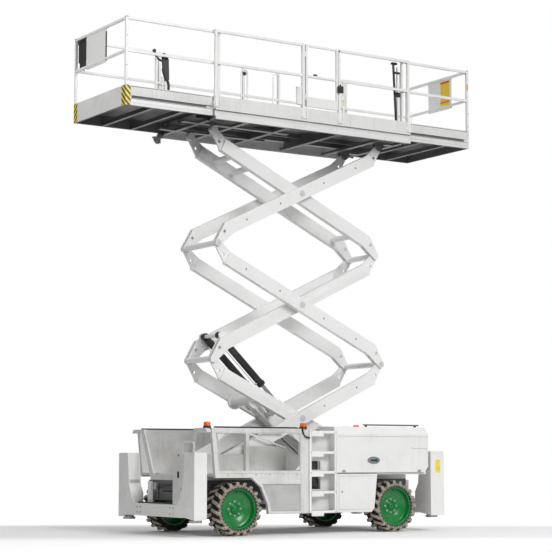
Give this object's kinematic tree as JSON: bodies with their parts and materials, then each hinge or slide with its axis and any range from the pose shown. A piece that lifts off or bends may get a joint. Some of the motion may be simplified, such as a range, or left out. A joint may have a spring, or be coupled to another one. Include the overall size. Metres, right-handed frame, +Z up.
{
  "type": "scissor lift",
  "caption": "Rough-terrain scissor lift: a wheeled chassis with outriggers carries a folding scissor and a railed platform that rolls out at both ends.",
  "frame": {"origin": "on the ground, midway between the axles and the wheels, under the middle of the machine's overall box", "axes": "+X to the machine's front, +Y to its left, +Z up"},
  "size_m": [6.4, 2.295, 7.5],
  "materials": {
    "white_paint": "weathered satin white enamel",
    "grey_paint": "satin grey enamel",
    "dark_steel": "semi-matt black enamel over steel",
    "green_paint": "gloss green enamel",
    "tyre_rubber": "worn dusty rubber",
    "black_paint": "satin black enamel",
    "rod_chrome": "hard chrome, oiled",
    "amber_lens": "amber lens over a black base",
    "black_plastic": "moulded black plastic"
  },
  "bodies": {
    "base": {"main_frame": "grey_paint", "front_portal": "white_paint", "side_frame_left": "white_paint", "side_frame_right": "white_paint", "boarding_ladder": "white_paint", "side_cabinet_right": "white_paint", "rear_bay_left": "white_paint", "rear_bay_right": "white_paint", "engine_block": "dark_steel", "beacon_front": "amber_lens", "beacon_rear": "amber_lens", "beacon_middle": "amber_lens", "front_axle": "dark_steel", "rear_axle": "dark_steel", "front_outrigger_frame": "white_paint", "rear_outrigger_frame": "white_paint", "front_cabinet": "white_paint"},
    "cover_left": {"engine_cover_left": "white_paint"},
    "cover_right": {"engine_cover_right": "white_paint"},
    "knuckle_left": {"steering_knuckle_left": "dark_steel"},
    "knuckle_right": {"steering_knuckle_right": "dark_steel"},
    "wheel_front_left": {"tyre_front_left": "tyre_rubber", "rim_front_left": "green_paint"},
    "wheel_front_right": {"tyre_front_right": "tyre_rubber", "rim_front_right": "green_paint"},
    "wheel_rear_left": {"tyre_rear_left": "tyre_rubber", "rim_rear_left": "green_paint"},
    "wheel_rear_right": {"tyre_rear_right": "tyre_rubber", "rim_rear_right": "green_paint"},
    "leg_front_left": {"outrigger_leg_front_left": "dark_steel"},
    "leg_front_right": {"outrigger_leg_front_right": "dark_steel"},
    "leg_rear_left": {"outrigger_leg_rear_left": "dark_steel"},
    "leg_rear_right": {"outrigger_leg_rear_right": "dark_steel"},
    "arm_1_inner_body": {"arm_1_inner": "white_paint"},
    "arm_1_outer_body": {"arm_1_outer": "white_paint"},
    "arm_2_inner_body": {"arm_2_inner": "white_paint"},
    "arm_2_outer_body": {"arm_2_outer": "white_paint"},
    "arm_3_inner_body": {"arm_3_inner": "white_paint"},
    "arm_3_outer_body": {"arm_3_outer": "white_paint"},
    "upper_barrels": {"upper_barrel_left": "black_paint", "upper_barrel_right": "black_paint"},
    "upper_rods": {"upper_rod_left": "rod_chrome", "upper_rod_right": "rod_chrome"},
    "lower_barrel_body": {"lower_barrel": "white_paint"},
    "lower_rod_body": {"lower_rod": "dark_steel"},
    "platform": {"main_deck": "white_paint", "rail_left_front": "white_paint", "rail_left_rear": "white_paint", "rail_right": "white_paint"},
    "gate": {"entry_gate": "white_paint"},
    "front_deck": {"front_extension": "white_paint", "front_extension_rails": "white_paint", "control_console": "black_plastic"},
    "rear_deck": {"rear_extension": "white_paint", "rear_extension_rails": "white_paint"}
  },
  "joints": [
    {"name": "lift", "type": "hinge", "parent": "base", "child": "arm_1_inner_body", "pos_m": [-1.59, 0, 0.86], "axis": [0, -1, 0], "range_deg": [-25.7, 28.2]},
    {"name": "arm_1_cross", "type": "hinge", "parent": "arm_1_inner_body", "child": "arm_1_outer_body", "pos_m": [-0.07878, 0, 1.7325], "axis": [0, -1, 0], "range_deg": [-57, 52]},
    {"name": "arm_1_2_front", "type": "hinge", "parent": "arm_1_inner_body", "child": "arm_2_inner_body", "pos_m": [1.43243, 0, 2.605], "axis": [0, -1, 0], "range_deg": [-57, 52]},
    {"name": "arm_2_cross", "type": "hinge", "parent": "arm_2_inner_body", "child": "arm_2_outer_body", "pos_m": [-0.07878, 0, 3.4775], "axis": [0, -1, 0], "range_deg": [-52, 57]},
    {"name": "arm_2_3_rear", "type": "hinge", "parent": "arm_2_inner_body", "child": "arm_3_inner_body", "pos_m": [-1.59, 0, 4.35], "axis": [0, -1, 0], "range_deg": [-52, 57]},
    {"name": "arm_3_cross", "type": "hinge", "parent": "arm_3_inner_body", "child": "arm_3_outer_body", "pos_m": [-0.07878, 0, 5.2225], "axis": [0, -1, 0], "range_deg": [-57, 52]},
    {"name": "platform_rear", "type": "hinge", "parent": "arm_3_outer_body", "child": "platform", "pos_m": [-1.59, 0, 6.095], "axis": [0, -1, 0], "range_deg": [-26, 29]},
    {"name": "upper_cylinder_head", "type": "hinge", "parent": "arm_2_inner_body", "child": "upper_barrels", "pos_m": [1.22893, 0, 2.97653], "axis": [0, -1, 0], "range_deg": [-48.2, 52.9]},
    {"name": "upper_cylinder_stroke", "type": "slide", "parent": "upper_barrels", "child": "upper_rods", "axis": [-0.7235, 0, -0.6903], "range_m": [-0.335, 0.368]},
    {"name": "lower_cylinder_head", "type": "hinge", "parent": "arm_1_inner_body", "child": "lower_barrel_body", "pos_m": [0.5165, 0, 1.89144], "axis": [0, -1, 0], "range_deg": [-2, 2]},
    {"name": "lower_cylinder_stroke", "type": "slide", "parent": "lower_barrel_body", "child": "lower_rod_body", "axis": [-0.779, 0, -0.627], "range_m": [-0.235, 0.255]},
    {"name": "steering_left", "type": "hinge", "parent": "base", "child": "knuckle_left", "pos_m": [1.42, 0.7, 0.39], "axis": [0, 0, 1], "range_deg": [-25, 25]},
    {"name": "steering_right", "type": "hinge", "parent": "base", "child": "knuckle_right", "pos_m": [1.42, -0.7, 0.39], "axis": [0, 0, 1], "range_deg": [-25, 25]},
    {"name": "wheel_front_left_spin", "type": "hinge", "parent": "knuckle_left", "child": "wheel_front_left", "pos_m": [1.42, 0.94, 0.39], "axis": [0, 1, 0], "continuous": true},
    {"name": "wheel_rear_left_spin", "type": "hinge", "parent": "base", "child": "wheel_rear_left", "pos_m": [-1.42, 0.94, 0.39], "axis": [0, 1, 0], "continuous": true},
    {"name": "wheel_front_right_spin", "type": "hinge", "parent": "knuckle_right", "child": "wheel_front_right", "pos_m": [1.42, -0.94, 0.39], "axis": [0, 1, 0], "continuous": true},
    {"name": "wheel_rear_right_spin", "type": "hinge", "parent": "base", "child": "wheel_rear_right", "pos_m": [-1.42, -0.94, 0.39], "axis": [0, 1, 0], "continuous": true},
    {"name": "cover_left_hinge", "type": "hinge", "parent": "base", "child": "cover_left", "pos_m": [-1.17, 0.6, 1.589], "axis": [1, 0, 0], "range_deg": [0, 80]},
    {"name": "cover_right_hinge", "type": "hinge", "parent": "base", "child": "cover_right", "pos_m": [-1.17, -0.6, 1.589], "axis": [-1, 0, 0], "range_deg": [0, 80]},
    {"name": "outrigger_front_left", "type": "slide", "parent": "base", "child": "leg_front_left", "axis": [0, 0, -1], "range_m": [0, 0.19]},
    {"name": "outrigger_front_right", "type": "slide", "parent": "base", "child": "leg_front_right", "axis": [0, 0, -1], "range_m": [0, 0.19]},
    {"name": "outrigger_rear_left", "type": "slide", "parent": "base", "child": "leg_rear_left", "axis": [0, 0, -1], "range_m": [0, 0.19]},
    {"name": "outrigger_rear_right", "type": "slide", "parent": "base", "child": "leg_rear_right", "axis": [0, 0, -1], "range_m": [0, 0.19]},
    {"name": "front_deck_slide", "type": "slide", "parent": "platform", "child": "front_deck", "axis": [1, 0, 0], "range_m": [-1.48, 0]},
    {"name": "rear_deck_slide", "type": "slide", "parent": "platform", "child": "rear_deck", "axis": [-1, 0, 0], "range_m": [-1.27, 0]},
    {"name": "gate_hinge", "type": "hinge", "parent": "platform", "child": "gate", "pos_m": [0.092, 0.864, 6.9], "axis": [0, 0, 1], "range_deg": [0, 90]}
  ],
  "couplings": [
    {"joint": "arm_1_cross", "follows": "lift", "ratio": -2},
    {"joint": "arm_1_2_front", "follows": "lift", "ratio": -2},
    {"joint": "arm_2_cross", "follows": "lift", "ratio": 2},
    {"joint": "arm_2_3_rear", "follows": "lift", "ratio": 2},
    {"joint": "arm_3_cross", "follows": "lift", "ratio": -2},
    {"joint": "platform_rear", "follows": "lift", "ratio": 1},
    {"joint": "upper_cylinder_head", "follows": "lift", "ratio": 1.864},
    {"joint": "upper_cylinder_stroke", "follows": "lift", "m_per_rad": 0.735},
    {"joint": "lower_cylinder_head", "follows": "lift", "ratio": 0.063},
    {"joint": "lower_cylinder_stroke", "follows": "lift", "m_per_rad": 0.508},
    {"joint": "steering_right", "follows": "steering_left", "ratio": 1}
  ]
}
